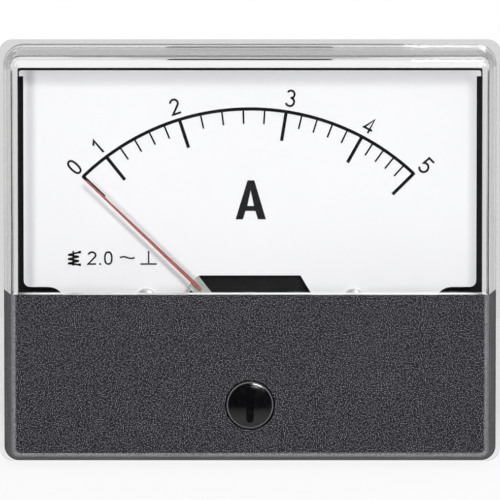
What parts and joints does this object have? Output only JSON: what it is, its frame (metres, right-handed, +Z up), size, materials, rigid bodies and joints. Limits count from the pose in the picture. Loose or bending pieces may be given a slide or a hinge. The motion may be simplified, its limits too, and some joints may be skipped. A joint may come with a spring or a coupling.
{
  "type": "analog panel meter",
  "caption": "Rectangular moving-iron panel meter with a clear drafted cover, dark lower mask, white dial, red pointer, zero adjuster, round barrel and rear terminals.",
  "frame": {"origin": "on the barrel's axis, in the plane of the panel's front face, where the cover's rim and the base plate lie", "axes": "+X to the right as seen from the front, +Y from the front face to the terminals along the barrel, +Z up"},
  "size_m": [0.07, 0.0508, 0.059],
  "materials": {
    "clear_plastic": "clear, glossy",
    "mask_black": "fine textured charcoal",
    "adjuster_black": "glossy black",
    "housing_black": "smooth black",
    "dial_white": "satin white enamel",
    "print_black": "printed black",
    "pointer_red": "satin red enamel",
    "light_alloy": "bare sheet",
    "plated_steel": "bright plated",
    "soft_iron": "dull",
    "brass": "turned",
    "copper_wire": "enamelled copper",
    "spring_bronze": "bright strip",
    "bobbin_brown": "moulded brown"
  },
  "bodies": {
    "case": {"clear_cover": "clear_plastic", "front_mask": "mask_black", "rear_housing": "housing_black", "mounting_studs": "plated_steel", "dial_plate": "dial_white", "scale_marks": "print_black", "dial_screws": "plated_steel", "terminal_studs": "brass", "inner_nuts": "brass", "terminal_lugs": "plated_steel", "clamp_nuts": "brass", "terminal_washers": "brass", "spring_washers": "plated_steel", "terminal_nuts": "brass", "movement_frame": "housing_black", "chamber_cover": "housing_black", "movement_screws": "plated_steel", "coil_bobbin": "bobbin_brown", "field_coil": "copper_wire", "coil_leads": "copper_wire", "fixed_iron": "soft_iron", "front_bridge": "plated_steel", "bridge_pillars": "brass", "bridge_screws": "plated_steel", "pointer_stops": "plated_steel", "front_jewel_screw": "brass", "rear_jewel_screw": "brass", "jewel_lock_nuts": "brass", "rear_bridge": "plated_steel", "rear_bridge_screws": "plated_steel"},
    "adjuster": {"zero_adjuster": "adjuster_black", "adjuster_clip": "plated_steel"},
    "lever": {"zero_lever": "brass", "hairspring": "spring_bronze"},
    "pointer": {"spindle": "plated_steel", "spring_collet": "brass", "pointer_carrier": "light_alloy", "pointer": "pointer_red", "balance_weights": "light_alloy", "damping_vane": "light_alloy", "moving_iron": "soft_iron"}
  },
  "joints": [
    {"name": "adjuster_turn", "type": "hinge", "parent": "case", "child": "adjuster", "pos_m": [0, -0.0135, -0.0206], "axis": [0, 1, 0], "range_deg": [-40, 40]},
    {"name": "lever_turn", "type": "hinge", "parent": "case", "child": "lever", "pos_m": [0, -0.0102, -0.0115], "axis": [0, 1, 0], "range_deg": [-5, 5]},
    {"name": "pointer_swing", "type": "hinge", "parent": "lever", "child": "pointer", "pos_m": [0, -0.0078, -0.0115], "axis": [0, 1, 0], "range_deg": [-4, 96], "stiffness_Nm_per_rad": 0.00001}
  ],
  "couplings": [
    {"joint": "lever_turn", "follows": "adjuster_turn", "ratio": -0.1165}
  ]
}
